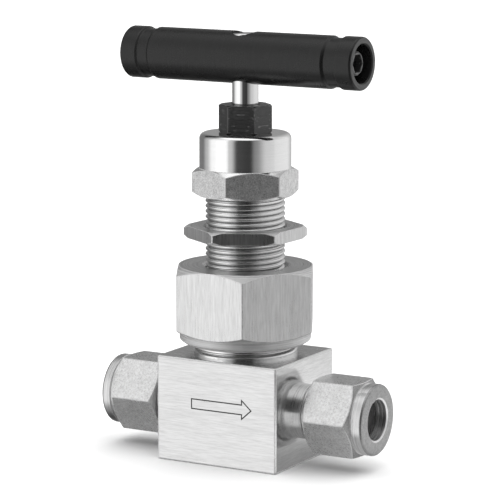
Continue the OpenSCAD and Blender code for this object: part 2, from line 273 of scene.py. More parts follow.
def loft(name, angles, section, closed=True, hexagon=False):
    """Solid from one (r, z, tag) section for each angle about Z.

    A closed section makes a bored piece, and an open one ends on the axis. Rows whose tag ends with * are a
    thread's, and join one turn on where the last angle meets the first. On a hexagon the corners between the
    flats get the edge tag.
    """
    columns = [section(angle) for angle in angles]
    tags = [row[2] for row in columns[0]]
    ends = thread_ends([tag.endswith("*") for tag in tags])
    count = len(tags)
    bm = bmesh.new()
    grid = []
    for angle, column in zip(angles, columns):
        c, s = math.cos(angle), math.sin(angle)
        grid.append([bm.verts.new((r * c * MM, r * s * MM, z * MM)) for r, z, _ in column])
    for j, here in enumerate(grid):
        there = grid[(j + 1) % len(grid)]
        wraps = j == len(grid) - 1
        on_corner = hexagon and j % (FLAT_STEPS + CORNER_STEPS) < CORNER_STEPS
        for i in range(count if closed else count - 1):
            k = (i + 1) % count
            a, b = i, k
            if wraps and ends[i]:
                a = min(i + TURN_ROWS, ends[i])
                b = min(i + 1 + TURN_ROWS, ends[i])
            tag = "edge" if on_corner and tags[i] == "flat" else tags[i].rstrip("*")
            add_face(bm, (here[i], there[a], there[b], here[k]), TAG_SLOT[tag])
    clean(bm)
    return mesh_from(bm, name)


def hex_loft(name, hexagon, section):
    """Bored hexagonal piece."""
    return loft(name, hex_angles(*hexagon, FLAT_STEPS, CORNER_STEPS), section, hexagon=True)


def turned_mesh(name, outline, count, tag="turned", steps=3):
    """Solid of revolution from (r, z, rounding) corners that start and end on the axis."""
    path = rounded_path([(*corner, tag) for corner in outline], steps)
    return loft(name, round_angles(count), lambda angle: path, closed=False)


def rod(name, radius, low, high, count):
    """Plain cylinder about Z."""
    outline = [(0, low, 0), (radius, low, 0), (radius, high, 0), (0, high, 0)]
    return turned_mesh(name, outline, count)


def bevelled_block(name, size, centre, bevel):
    """Box with rounded edges. A bevel of 0 leaves them sharp."""
    bm = bmesh.new()
    bmesh.ops.create_cube(bm, size=1.0)
    bmesh.ops.scale(bm, vec=Vector(size) * MM, verts=bm.verts)
    bmesh.ops.translate(bm, vec=Vector(centre) * MM, verts=bm.verts)
    if bevel:
        bmesh.ops.bevel(bm, geom=bm.edges[:], offset=bevel * MM, segments=3, profile=0.62, affect="EDGES")
    return mesh_from(bm, name)


def joined(mesh, tool, operation):
    """Mesh after one boolean with a tool mesh."""
    a = add_object("boolean_a", mesh)
    b = add_object("boolean_b", tool)
    cut = a.modifiers.new("cut", "BOOLEAN")
    cut.operation = operation
    cut.object = b
    cut.solver = "MANIFOLD"
    bpy.context.view_layer.update()
    graph = bpy.context.evaluated_depsgraph_get()
    result = a.evaluated_get(graph)
    made = bpy.data.meshes.new_from_object(result, preserve_all_data_layers=True, depsgraph=graph)
    bpy.data.objects.remove(a)
    bpy.data.objects.remove(b)
    return made


def placed(mesh, matrix):
    """The mesh itself, moved by a matrix."""
    mesh.transform(matrix)
    return mesh


def soften(mesh):
    """Smooth faces, with the sharp edges marked."""
    bm = bmesh.new()
    bm.from_mesh(mesh)
    for face in bm.faces:
        face.smooth = True
    limit = math.radians(SHARP_ANGLE)
    for edge in bm.edges:
        edge.smooth = len(edge.link_faces) == 2 and edge.calc_face_angle(0.0) < limit
    bm.to_mesh(mesh)
    bm.free()


def make(name, mesh, materials, body, node):
    """Piece from a mesh: its materials and shading, the body it rides and the node it replaces."""
    obj = add_object(name, mesh)
    slots = [face.material_index for face in mesh.polygons]
    mesh.materials.clear()
    for material in materials:
        mesh.materials.append(material)
    mesh.polygons.foreach_set("material_index", slots)
    soften(mesh)
    normals = obj.modifiers.new("weighted", "WEIGHTED_NORMAL")
    normals.mode = "FACE_AREA"
    normals.weight = 50
    normals.keep_sharp = True
    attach(obj, body)
    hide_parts(node)


def turned_about(degrees, axis):
    """Rotation matrix about one axis."""
    return Matrix.Rotation(math.radians(degrees), 4, axis)


def raised(z):
    """Matrix that lifts by z millimetres."""
    return Matrix.Translation((0, 0, z * MM))


# From a piece built along +Z to the valve's two ends, and to the handle
ENDS = {"left": raised(PORT_Z) @ turned_about(-90, "Y"), "right": raised(PORT_Z) @ turned_about(90, "Y")}
ALONG_HANDLE = raised(HANDLE_Z) @ turned_about(HANDLE_YAW, "Z") @ turned_about(90, "Y")


# ---------------------------------------------------------------- materials

# Middle range of a noise, where nearly all its values lie
NOISE_LOW, NOISE_HIGH = 0.3, 0.7
# Height of the relief in the materials, in metres
RELIEF = 0.00004
# How much slower a straight grain changes along itself than across
GRAIN_STRETCH = {"x": 0.07, "y": 0.07, "z": 0.08}


class Nodes:
    """Short calls for building one node tree."""

    def __init__(self, tree):
        self.tree = tree

    def new(self, kind, **values):
        node = self.tree.nodes.new(kind)
        for key, value in values.items():
            setattr(node, key, value)
        return node

    def link(self, out, socket):
        self.tree.links.new(out, socket)

    def feed(self, socket, value):
        """Links an output to the socket, or sets the socket to a constant."""
        if isinstance(value, bpy.types.NodeSocket):
            self.link(value, socket)
        else:
            socket.default_value = value

    def math(self, operation, a, b=0.0, clamp=False):
        node = self.new("ShaderNodeMath", operation=operation, use_clamp=clamp)
        self.feed(node.inputs[0], a)
        self.feed(node.inputs[1], b)
        return node.outputs[0]

    def blend(self, a, share_a, b, share_b):
        """Weighted sum of two values."""
        return self.math("ADD", self.math("MULTIPLY", a, share_a), self.math("MULTIPLY", b, share_b))

    def length(self, x, y):
        """Length of a vector given by two values."""
        return self.math("SQRT", self.math("ADD", self.math("MULTIPLY", x, x), self.math("MULTIPLY", y, y)))

    def remap(self, value, a0, a1, b0, b1, smooth=False):
        """The value carried from the range a0 to a1 over to b0 to b1, and held at both ends."""
        node = self.new("ShaderNodeMapRange", interpolation_type="SMOOTHSTEP" if smooth else "LINEAR")
        for socket, given in zip(node.inputs, (value, a0, a1, b0, b1)):
            self.feed(socket, given)
        return node.outputs[0]

    def from_noise(self, value, low, high):
        """The middle range of a noise carried over to low to high."""
        return self.remap(value, NOISE_LOW, NOISE_HIGH, low, high)

    def vector(self, x, y, z):
        node = self.new("ShaderNodeCombineXYZ")
        for socket, value in zip(node.inputs, (x, y, z)):
            self.feed(socket, value)
        return node.outputs[0]

    def grey(self, value):
        """Grey colour of one brightness."""
        node = self.new("ShaderNodeCombineColor")
        for socket in node.inputs[:3]:
            self.link(value, socket)
        return node.outputs[0]

    def mix_colour(self, share, a, b):
        """Colour a, or b where the share is 1."""
        node = self.new("ShaderNodeMix", data_type="RGBA")
        self.link(share, node.inputs["Factor"])
        self.feed(node.inputs[6], a)
        self.feed(node.inputs[7], b)
        return node.outputs[2]

    def noise(self, vector, scale, detail=2.0, roughness=0.5, distortion=0.0):
        node = self.new("ShaderNodeTexNoise", noise_dimensions="3D")
        self.link(vector, node.inputs["Vector"])
        node.inputs["Scale"].default_value = scale
        node.inputs["Detail"].default_value = detail
        node.inputs["Roughness"].default_value = roughness
        node.inputs["Distortion"].default_value = distortion
        return node.outputs["Fac"]

    def relief(self, height, strength):
        """Surface direction of a fine relief."""
        node = self.new("ShaderNodeBump")
        node.inputs["Strength"].default_value = strength
        node.inputs["Distance"].default_value = RELIEF
        self.link(height, node.inputs["Height"])
        return node.outputs[0]

    def place(self):
        """Place on the piece, in metres."""
        return self.new("ShaderNodeTexCoord").outputs["Object"]

    def position(self):
        """The piece's own x, y and z in millimetres."""
        split = self.new("ShaderNodeSeparateXYZ")
        self.link(self.place(), split.inputs[0])
        return [self.math("MULTIPLY", out, 1000.0) for out in split.outputs[:3]]


def new_material(name):
    """New material, its node helper and its shader."""
    material = bpy.data.materials.new(name)
    material.use_nodes = True
    return material, Nodes(material.node_tree), material.node_tree.nodes["Principled BSDF"]


def grain_vector(n, grain):
    """Coordinates that run slowly along the tool marks and fast across them."""
    x, y, z = n.position()
    if grain == "none":
        return n.vector(x, y, z)
    if grain in GRAIN_STRETCH:
        axes = {"x": x, "y": y, "z": z}
        axes[grain] = n.math("MULTIPLY", axes[grain], GRAIN_STRETCH[grain])
        return n.vector(*axes.values())
    if grain == "round_z":
        along, p, q = z, x, y
    else:
        axis_z = HANDLE_Z if grain == "round_handle" else PORT_Z
        along, p, q = x, y, n.math("SUBTRACT", z, axis_z)
    # Turned marks change with the radius and along the axis, and hardly with the angle
    angle = n.math("ARCTAN2", q, p)
    turn = n.math("MULTIPLY", n.math("SINE", angle), 0.35)
    wander = n.math("MULTIPLY", n.math("COSINE", angle), 0.02)
    return n.vector(n.length(p, q), turn, n.math("ADD", along, wander))


def metal(name, grain, tone, rough, streak=0.12, bump=0.10, fine=5.5, smudge=0.05, spread=0.0):
    """Bare steel with directional tool marks, faint smudges and micro-scratches.

    spread draws the highlights out across the marks.
    """
    material, n, shader = new_material(name)
    across = grain_vector(n, grain)
    coords = n.place()
    lines = n.noise(across, fine, 3.0, 0.65)
    wide = n.noise(across, fine * 0.22)
    cloud = n.noise(coords, 160.0, 3.0, 0.55)
    specks = n.noise(coords, 2600.0)
    mark = n.blend(lines, 0.75, wide, 0.25)
    shade = n.from_noise(mark, 1.0 - streak, 1.0 + streak * 0.55)
    shade = n.math("MULTIPLY", shade, n.from_noise(cloud, 1.0 - smudge, 1.0 + smudge * 0.5))
    gloss = n.blend(mark, 0.6, cloud, 0.4)
    shader.inputs["Metallic"].default_value = 1.0
    n.link(n.grey(n.math("MULTIPLY", shade, tone, clamp=True)), shader.inputs["Base Color"])
    n.link(n.from_noise(gloss, rough * 0.78, rough * 1.3), shader.inputs["Roughness"])
    n.link(n.relief(n.blend(lines, 0.8, specks, 0.2), bump), shader.inputs["Normal"])
    if spread:
        around = n.new("ShaderNodeTangent", direction_type="RADIAL", axis="X" if grain == "round_x" else "Z")
        n.link(around.outputs[0], shader.inputs["Tangent"])
        shader.inputs["Anisotropic"].default_value = spread
        shader.inputs["Anisotropic Rotation"].default_value = 0.25
    return material


def coated(name, grain, tone, rough, specular=0.5, grit=0.15, bump=0.15, scratch=0.0):
    """Dark oxide, anodised or moulded surface: dull colour, satin gloss, fine grit and scratches."""
    material, n, shader = new_material(name)
    across = grain_vector(n, grain)
    coords = n.place()
    lines = n.noise(across, 4.5, 3.0, 0.6)
    cloud = n.noise(coords, 220.0, 3.0, 0.6)
    specks = n.noise(coords, 3200.0, 2.0, 0.6)
    shade = n.math("MULTIPLY", n.from_noise(lines, 1.0 - grit, 1.0 + grit), n.from_noise(cloud, 0.85, 1.15))
    value = n.math("MULTIPLY", shade, tone)
    if scratch:
        marks = n.noise(across, 2.2, distortion=0.4)
        value = n.math("ADD", value, n.remap(marks, 0.60, 0.72, 0.0, scratch, True))
    shader.inputs["Metallic"].default_value = 0.0
    shader.inputs["Specular IOR Level"].default_value = specular
    n.link(n.grey(value), shader.inputs["Base Color"])
    n.link(n.from_noise(cloud, rough * 0.85, rough * 1.2), shader.inputs["Roughness"])
    n.link(n.relief(n.blend(lines, 0.5, specks, 0.5), bump), shader.inputs["Normal"])
    return material


# Each look: name, grain, tone and roughness, and then how strong its marks are
ground = metal("ground_steel", "x", 0.76, 0.32, streak=0.24, bump=0.20, fine=3.6, spread=0.75)
ground_side = metal("ground_steel_side", "y", 0.85, 0.13, streak=0.16, bump=0.08, fine=4.0)
ground_top = metal("ground_steel_top", "x", 0.77, 0.24, streak=0.36, bump=0.22, fine=4.0)
engraved = coated("engraved_line", "none", 0.09, 0.6, specular=0.2)
drawn_z = metal("drawn_hex_upright", "z", 0.72, 0.29, streak=0.24, bump=0.16, fine=2.6)
drawn_x = metal("drawn_hex_level", "none", 0.86, 0.28, streak=0.34, bump=0.16, fine=2.0)
blasted = metal("blasted_hex", "none", 0.90, 0.36, streak=0.50, bump=0.34, fine=3.2)
turned_z = metal("turned_steel_upright", "round_z", 0.98, 0.70, streak=0.42, bump=0.40, fine=2.6, spread=0.2)
turned_x = metal("turned_steel_level", "round_x", 0.82, 0.30, streak=0.36, bump=0.20, fine=3.2, spread=0.7)
faced_z = metal("faced_steel_upright", "round_z", 0.76, 0.30, streak=0.40, bump=0.25, fine=3.6)
# Turned end faces of the tube nuts, and painted shade on their hexagons' outer chamfers: the dark tone
faced_x_with_painted_shade = metal("faced_steel_level_with_painted_shade", "none", 0.47, 0.40, streak=0.45, bump=0.34, fine=3.0)
threads_z = metal("thread_steel_upright", "round_z", 0.90, 0.12, streak=0.14, bump=0.05, fine=4.0)
# Thread roots: rougher steel whose darker tone is painted shade in the grooves
thread_root_painted_shade = metal("thread_root_steel", "none", 0.50, 0.36, streak=0.40, bump=0.20, fine=3.0)
bored_z = metal("bored_steel_upright", "round_z", 0.60, 0.35, streak=0.25, bump=0.15, fine=3.0)
bored_x = metal("bored_steel_level", "round_x", 0.60, 0.50, streak=0.50, bump=0.35, fine=2.0, spread=0.8)
crisp_edge = metal("crisp_edge_steel", "none", 0.97, 0.34, streak=0.14, bump=0.08, fine=2.0)
worn_edge = metal("worn_edge_steel", "none", 0.97, 0.66, streak=0.18, bump=0.10, fine=2.0)
polished = metal("polished_steel", "round_z", 0.96, 0.12, streak=0.05, bump=0.02, fine=5.0, smudge=0.03)
mirror = metal("ground_stem_steel", "round_z", 0.90, 0.045, streak=0.02, bump=0.008, fine=7.0, smudge=0.02)
oxide = coated("black_oxide", "round_z", 0.020, 0.34, specular=0.62, grit=0.6, bump=0.40, scratch=0.09)
oxide_edge = coated("black_oxide_edge", "none", 0.04, 0.34, specular=0.8, grit=0.5, bump=0.2, scratch=0.1)
screw_face = coated("black_oxide_screw", "round_handle", 0.12, 0.35, specular=0.7, grit=0.3)
anodised = coated("black_anodised", "round_handle", 0.007, 0.28, specular=0.38, grit=0.3, bump=0.18)
anodised_end = coated("black_anodised_end", "round_handle", 0.05, 0.42, grit=0.4, bump=0.2)
anodised_edge = coated("black_anodised_edge", "none", 0.015, 0.3, grit=0.4)
white_polymer = coated("fluoropolymer_white", "none", 0.78, 0.5, grit=0.03)
ivory_polymer = coated("adapter_polymer", "none", 0.5, 0.5, grit=0.05)
black_rubber = coated("black_rubber", "none", 0.02, 0.7, specular=0.3)


# ---------------------------------------------------------------- body

# Where the tube ends and the neck start inside the block
INSIDE_BLOCK = 12.0
# A tube end's bore looks bored up to this radius and this distance from the stem
BORE_R, BORE_END = 5.9, 30.45
# The neck's grooves lie outside this radius
NECK_CORE = 11.6
# Half width and half height of the area round the arrow
ARROW_AREA = (11, 3.5)

# Looks of the body's faces, in the order of its material slots
BODY_LOOKS = {"front": ground, "neck": threads_z, "side": ground_side, "arrow": engraved,
              "tube_end": turned_x, "bore": bored_x, "edge": worn_edge, "top": ground_top,
              "upward_edge": crisp_edge, "groove": thread_root_painted_shade}
BODY_SLOT = {name: i for i, name in enumerate(BODY_LOOKS)}


def arrow_outline(margin):
    """Corners of the flow arrow on the front face, grown by a margin, as (x, z)."""
    tail, neck, tip = -6.8, 6.8, 9.8
    shaft, head = 2.7 / 2, 5.3 / 2
    slope = head / (tip - neck)
    tip_x = tip + margin * math.sqrt(1 + slope * slope) / slope
    head_y = slope * (tip_x - neck + margin)
    half = [(tail - margin, shaft + margin), (neck - margin, shaft + margin), (neck - margin, head_y)]
    return ([(x, ARROW_Z + y) for x, y in half] + [(tip_x, ARROW_Z)]
            + [(x, ARROW_Z - y) for x, y in reversed(half)])


def arrow_tool():
    """Closed frame that cuts the arrow's engraved outline."""
    front, back = -BODY_W / 2 - 0.5, -BODY_W / 2 + 0.16
    outer, inner = arrow_outline(-0.04), arrow_outline(-0.34)
    bm = bmesh.new()
    rings = []
    for outline, y in ((outer, front), (outer, back), (inner, back), (inner, front)):
        rings.append([bm.verts.new((x * MM, y * MM, z * MM)) for x, z in outline])
    for a, b in zip(rings, rings[1:] + rings[:1]):
        for i in range(len(a)):
            k = (i + 1) % len(a)
            bm.faces.new((a[i], a[k], b[k], b[i]))
    bmesh.ops.recalc_face_normals(bm, faces=bm.faces)
    return mesh_from(bm, "arrow_tool")


def fitting_section(angle):
    """Threaded tube end, solid inside, along local +Z."""
    start = TUBE_THREAD[0]
    rows = tagged([(0.0, INSIDE_BLOCK), (6.5, INSIDE_BLOCK), (6.5, start)], "turned")
    rows += thread_rows(angle, *TUBE_THREAD, ends=(0.6, 0.4))
    return rows + tagged([(6.4, 30.5), (0.0, 30.5)], "turned")


def neck_section(angle):
    """Threaded neck of the body under the union nut, solid inside."""
    start = NECK_THREAD[0]
    rows = tagged([(0.0, INSIDE_BLOCK), (12.4, INSIDE_BLOCK), (12.4, start)], "turned")
    rows += thread_rows(angle, *NECK_THREAD, ends=(0.05, 0.6), pitch=NECK_PITCH)
    return rows + tagged([(11.45, 39.0), (0.0, 39.0)], "turned")


def fitting_bore(name, inner):
    """Port, tube socket and ferrule mouth, as the solid that is taken away.

    inner is where the port starts, measured from the stem's axis.
    """
    outline = [(0, inner, 0), (3.55, inner, 0), (3.55, 18.7, 0), (4.8, 18.7, 0), (4.8, 27.5, 0),
               (5.8, 30.5, 0), (5.8, 32.0, 0), (0, 32.0, 0)]
    return turned_mesh(name, outline, 64, tag="inside")


def chamber():
    """Orifice, seat and bonnet chamber, as the solid that is taken away."""
    outline = [(0, 9.5, 0), (3.2, 9.5, 0), (3.2, 17.96, 0), (3.8, 19, 0), (7, 19, 0), (7, 38.6, 0),
               (7.4, 39, 0), (7.4, 41, 0), (0, 41, 0)]
    return turned_mesh("chamber", outline, 72, tag="inside")


def body_look(c, normal):
    """Name of the look of the body's face with centre c, by where it lies."""
    from_port = math.hypot(c.y, c.z - PORT_Z)
    from_stem = math.hypot(c.x, c.y)
    outside = max(abs(c.x) - BODY_L / 2, abs(c.y) - BODY_W / 2, abs(c.z - BODY_H / 2) - BODY_H / 2)
    if abs(c.x) > BODY_L / 2 + 0.02:
        if from_port < BORE_R and abs(c.x) < BORE_END:
            return "bore"
        start, end, radius, depth = TUBE_THREAD
        in_groove = start < abs(c.x) < end and BORE_R < from_port < radius - depth * ROOT_SHARE
        return "groove" if in_groove else "tube_end"
    if c.z > BODY_H + 0.02:
        start, _, radius, depth = NECK_THREAD
        in_groove = c.z > start + 0.05 and NECK_CORE < from_stem < radius - depth * ROOT_SHARE
        return "groove" if in_groove else "neck"
    if (-BODY_W / 2 + 0.01 < c.y < -BODY_W / 2 + 0.3 and abs(c.x) < ARROW_AREA[0]
            and abs(c.z - ARROW_Z) < ARROW_AREA[1]):
        return "arrow"
    if outside < -BODY_BEVEL:
        return "bore"
    if max(abs(component) for component in normal) < 0.995:
        return "upward_edge" if normal.z > 0.3 else "edge"
    if abs(normal.x) > 0.9:
        return "side"
    return "top" if normal.z > 0.9 else "front"


def build_body():
    block = bevelled_block("block", (BODY_L, BODY_W, BODY_H), (0, 0, BODY_H / 2), BODY_BEVEL)
    neck = loft("neck", round_angles(128), neck_section, closed=False)
    mesh = joined(block, neck, "UNION")
    for side, matrix in ENDS.items():
        fitting = placed(loft(side, round_angles(96), fitting_section, closed=False), matrix)
        mesh = joined(mesh, fitting, "UNION")
    mesh = joined(mesh, chamber(), "DIFFERENCE")
    for side, inner in (("left", -3.6), ("right", 9.0)):
        mesh = joined(mesh, placed(fitting_bore(f"{side}_bore", inner), ENDS[side]), "DIFFERENCE")
    mesh = joined(mesh, arrow_tool(), "DIFFERENCE")
    for face in mesh.polygons:
        face.material_index = BODY_SLOT[body_look(face.center / MM, face.normal)]
    make("valve_body_shell", mesh, BODY_LOOKS.values(), "valve", "valve_body")


# ---------------------------------------------------------------- nuts and bonnet

# Looks are listed in the order of TAG_SLOT
NUT_LOOKS = [drawn_z, turned_z, bored_z, worn_edge, faced_z]


def union_section(angle):
    """Union nut with a turned collar below its hexagon."""
    r = hex_radius(angle, *UNION_HEX)
    shoulder, top = 30.2, 46.3
    collar, face = 15.65, UNION_HEX[0] / 2 - 0.08
    outer = [(13.3, 27.85, 0, "turned"), (14.5, 27.85, 0.4, "turned"), (collar, 28.65, 0.6, "turned"),
             (collar, shoulder, 0.08, "turned"), (r, shoulder + chamfer(r, collar), 0.28, "flat"),
             (r, top - chamfer(r, face), 0.28, "turned"), (face, top, 0.25, "faced"),
             (10.35, top, 0.1, "faced"), (9.6, 45.55, 0, "inside")]
    bore = [(9.6, 43.05), (11.1, 43.05), (11.1, 39.2), (12.5, 39.2), (12.5, 28.9)]
    return rounded_path(outer, 4) + tagged(bore, "inside")


def build_union_nut():
    mesh = hex_loft("union_nut", UNION_HEX, union_section)
    make("union_nut_shell", mesh, NUT_LOOKS, "valve", "union_nut")


def panel_nut_section(angle):
    """Thin nut, chamfered on both sides."""
    r = hex_radius(angle, *PANEL_HEX)
    foot, top = 52.75, 55.65
    face = min(13.6, r - 0.06)
    outer = [(10.0, foot, 0, "turned"), (face, foot, 0.16, "turned"),
             (r, foot + chamfer(r, face), 0.2, "flat"), (r, top - chamfer(r, face), 0.2, "turned"),
             (face, top, 0.16, "faced"), (10.0, top, 0.08, "turned"), (9.5, 55.15, 0, "inside")]
    return rounded_path(outer, 3) + tagged([(9.5, 53.25)], "inside")


def build_panel_nut():
    mesh = hex_loft("panel_nut", PANEL_HEX, panel_nut_section)
    make("panel_nut_shell", mesh, NUT_LOOKS, "panel_nut", "panel_nut")


def cap_section(angle):
    """Bonnet cap: a hexagonal foot with a round top."""
    r = hex_radius(angle, *CAP_HEX)
    foot, shoulder, top = 62.98, 69.45, 77.8
    face = CAP_HEX[0] / 2 - 0.02
    outer = [(10.1, foot, 0, "turned"), (face, foot, 0.18, "turned"),
             (r, foot + chamfer(r, face), 0.25, "flat"),
             (r, shoulder - chamfer(r, face), 0.25, "turned"), (face, shoulder, 0.12, "turned"),
             (10.85, shoulder, 0.12, "turned"), (10.85, top, 1.35, "turned"), (5.55, top, 0, "inside")]
    return rounded_path(outer, 5) + tagged([(5.55, 71.0), (9.5, 71.0), (9.5, 63.58)], "inside")


def build_cap():
    looks = [blasted, polished, bored_z, worn_edge]
    mesh = hex_loft("cap", CAP_HEX, cap_section)
    make("bonnet_cap_shell", mesh, looks, "valve", "bonnet_cap")


def bonnet_section(angle):
    """Bonnet: a threaded tube with a flange at its foot."""
    start = BONNET_THREAD[0]
    rows = tagged([(3.2, 33.0), (6.5, 33.0), (6.9, 33.4), (6.9, 39.5), (11.0, 39.5), (11.0, 43.0),
                   (9.05, 43.0), (8.75, 43.4), (8.75, start)], "turned")
    rows += thread_rows(angle, *BONNET_THREAD, ends=(0.7, 0.6))
    rows += tagged([(8.55, 70.8)], "turned")
    return rows + tagged([(5.6, 70.8), (5.6, 47.0), (3.2, 47.0)], "inside")


def build_bonnet():
    looks = [threads_z] * len(TAG_SLOT)
    looks[TAG_SLOT["inside"]] = bored_z
    # The roots take the darker look, which is painted shade in the grooves
    looks[TAG_SLOT["root"]] = thread_root_painted_shade
    mesh = loft("bonnet", round_angles(128), bonnet_section)
    make("bonnet_shell", mesh, looks, "valve", "bonnet")


def bolt_section(angle):
    """Packing bolt: a hexagonal head on a round shank."""
    r = hex_radius(angle, *BOLT_HEX)
    shoulder, top = 77.8, 84.45
    low = min(BOLT_HEX[0] / 2 + 0.35, r - 0.03)
    high = min(BOLT_HEX[0] / 2 + 0.3, r - 0.03)
    outer = [(3.95, 58.0, 0, "turned"), (5.5, 58.0, 0.2, "turned"), (5.5, 77.75, 0, "turned"),
             (low, shoulder, 0.05, "turned"), (r, shoulder + chamfer(r, low), 0.12, "flat"),
             (r, top - chamfer(r, high), 0.2, "turned"), (high, top, 0.15, "turned"),
             (3.55, top, 0.1, "turned"), (3.15, 84.05, 0, "inside")]
    bore = [(3.15, 82.6), (4.3, 82.6), (4.3, 81.4), (3.15, 81.4), (3.15, 80.2), (3.95, 80.2)]
    return rounded_path(outer, 3) + tagged(bore, "inside")


def build_bolt():
    looks = [oxide, oxide, oxide, oxide_edge]
    mesh = hex_loft("bolt", BOLT_HEX, bolt_section)
    make("packing_bolt_shell", mesh, looks, "valve", "packing_bolt")


def bore_groove(z):
    """Fine groove round the tube nut's bore, down from z."""
    return [(4.85, z, 0, "inside"), (4.98, z - 0.08, 0, "inside"), (4.98, z - 0.24, 0, "inside"),
            (4.85, z - 0.32, 0, "inside")]


def tube_nut_section(angle):
    """Tube nut with a turned collar, along local +Z."""
    r = hex_radius(angle, *TUBE_NUT_HEX)
    foot, shoulder, end = 20.3, 32.4, 35.5
    low, high = TUBE_NUT_HEX[0] / 2 - 0.08, TUBE_NUT_HEX[0] / 2 - 0.3
    outer = [(7.75, foot, 0, "turned"), (low, foot, 0.22, "turned"),
             (r, foot + chamfer(r, low), 0.25, "flat"),
             # The hexagon's outer chamfer takes the faced look, whose dark tone is painted shade
             (r, shoulder - chamfer(r, high), 0.25, "faced"), (high, shoulder, 0.12, "turned"),
             (8.1, 32.5, 0.12, "turned"), (8.1, 33.0, 0.1, "turned"), (8.45, 33.2, 0.1, "turned"),
             (8.45, end, 0.6, "faced"), (5.25, end, 0.04, "rim"), (4.85, 35.25, 0.04, "inside")]
    outer += bore_groove(34.5) + bore_groove(33.6)
    outer += [(4.85, 32.6, 0, "inside"), (5.15, 32.35, 0, "inside")]
    bore = [(6.3, 32.35), (6.3, 30.9), (7.15, 30.9), (7.15, 20.9)]
    return rounded_path(outer, 3) + tagged(bore, "inside")


def build_tube_nuts():
    looks = [drawn_x, turned_x, bored_x, worn_edge, faced_x_with_painted_shade, crisp_edge]
    for side, matrix in ENDS.items():
        mesh = placed(hex_loft(f"{side}_nut", TUBE_NUT_HEX, tube_nut_section), matrix)
        make(f"{side}_nut_shell", mesh, looks, f"{side}_nut", f"{side}_nut")


# ---------------------------------------------------------------- stem and handle

# Depth and radius of the open bore in each end of the handle
END_BORE, END_BORE_R = 4.9, 4.5


def handle_outline():
    """Bar with an end bore, an end collar and a shallow groove at each end."""
    half = HANDLE_HALF
    collar, groove = half - 4.4, half - 7.9
    side = [(HANDLE_R, half, 0.55), (HANDLE_R, collar + 0.1, 0.15), (5.72, collar - 0.22, 0.12),
            (5.72, groove + 0.55, 0.25), (6.18, groove, 0.3)]
    bore = [(0, half - END_BORE, 0), (END_BORE_R, half - END_BORE, 0.15), (END_BORE_R, half - 0.25, 0.05),
            (4.8, half, 0.08)]
    near = bore + side
    return near + [(r, -z, rounding) for r, z, rounding in reversed(near)]


def handle_slot(face, to_bar):
    """Material slot of the handle's face: 1 on its ends, 2 on the rounded edges near them, 0 elsewhere."""
    along = abs((to_bar @ face.center).z / MM)
    outward = abs((to_bar.to_3x3() @ face.normal).z)
    if along > HANDLE_HALF - 0.3 and outward > 0.9:
        return 1
    if face.material_index == TAG_SLOT["edge"] and along > HANDLE_HALF - 5.5:
        return 2
    return 0


def build_handle():
    mesh = placed(turned_mesh("handle", handle_outline(), 96, steps=4), ALONG_HANDLE)
    stem_hole = rod("hole", 3.15, HANDLE_Z - 8, HANDLE_Z + 8, 64)
    mesh = joined(mesh, stem_hole, "DIFFERENCE")
    screw_hole = placed(rod("screw_hole", 3.0, 0.5, HANDLE_HALF - 2, 48), ALONG_HANDLE)
    mesh = joined(mesh, screw_hole, "DIFFERENCE")
    to_bar = ALONG_HANDLE.inverted()
    for face in mesh.polygons:
        face.material_index = handle_slot(face, to_bar)
    looks = [anodised, anodised_end, anodised_edge]
    make("handle_bar_shell", mesh, looks, "handle", "handle_bar")


def screw_section(angle):
    """Set screw with a cone point and a hexagonal socket, along local +Z."""
    end = HANDLE_HALF - 1.4
    socket = hex_radius(angle, *SOCKET_HEX)
    outline = [(0, 3.2, 0, "turned"), (1.9, 3.2, 0.1, "turned"), (2.9, 4.2, 0.1, "turned"),
               (2.9, end - 0.45, 0.1, "turned"), (2.5, end, 0.08, "turned"),
               (socket + 0.12, end, 0, "edge"), (socket, end - 0.15, 0, "inside"),
               (socket, end - 3.2, 0, "inside"), (0, end - 4.0, 0, "inside")]
    return rounded_path(outline, 2)


def build_set_screw():
    looks = [oxide, screw_face, oxide, oxide_edge]
    mesh = placed(loft("screw", hex_angles(*SOCKET_HEX, 8, 3), screw_section, closed=False), ALONG_HANDLE)
    make("handle_set_screw_shell", mesh, looks, "handle", "handle_set_screw")


def stem_slot():
    """Solids that cut the side slot for the needle's button head, and the hole it hangs in."""
    return [rod("slot_pin", 1.7, 61, 65, 32), rod("slot_disc", 2.5, 64.9, 67.1, 32),
            bevelled_block("slot_neck", (5.2, 3.4, 4.0), (2.6, 0, 63.0), 0),
            bevelled_block("slot_head", (5.2, 5.0, 2.2), (2.6, 0, 66.0), 0)]


def build_stem():
    outline = [(0, 62.5, 0), (3.4, 62.5, 0), (3.9, 63.0, 0), (3.9, 75.4, 0.1), (3.1, 76.0, 0.1),
               (3.1, 101.1, 0.35), (0, 101.1, 0)]
    mesh = turned_mesh("stem", outline, 72, steps=4)
    for tool in stem_slot():
        mesh = joined(mesh, tool, "DIFFERENCE")
    make("upper_stem_shell", mesh, [mirror] * 4, "handle", "upper_stem")


build_body()
build_union_nut()
build_bonnet()
build_panel_nut()
build_cap()
build_bolt()
build_tube_nuts()
build_handle()
build_set_screw()
build_stem()


# ---------------------------------------------------------------- pieces kept from the CAD

KEPT = {
    "bonnet_gasket": white_polymer, "stem_wiper": black_rubber, "packing_gland": turned_z,
    "upper_packing_adapter": ivory_polymer, "upper_chevron_ring": white_polymer,
    "middle_chevron_ring": white_polymer, "lower_chevron_ring": white_polymer,
    "lower_packing_adapter": ivory_polymer, "lower_stem": mirror,
    "left_front_ferrule": turned_x, "left_back_ferrule": turned_x,
    "right_front_ferrule": turned_x, "right_back_ferrule": turned_x,
}
for node, material in KEPT.items():
    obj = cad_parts[node]
    obj.data.materials.clear()
    obj.data.materials.append(material)


# ---------------------------------------------------------------- studio

# Half of the floor's side, in metres
FLOOR_REACH = 3.0

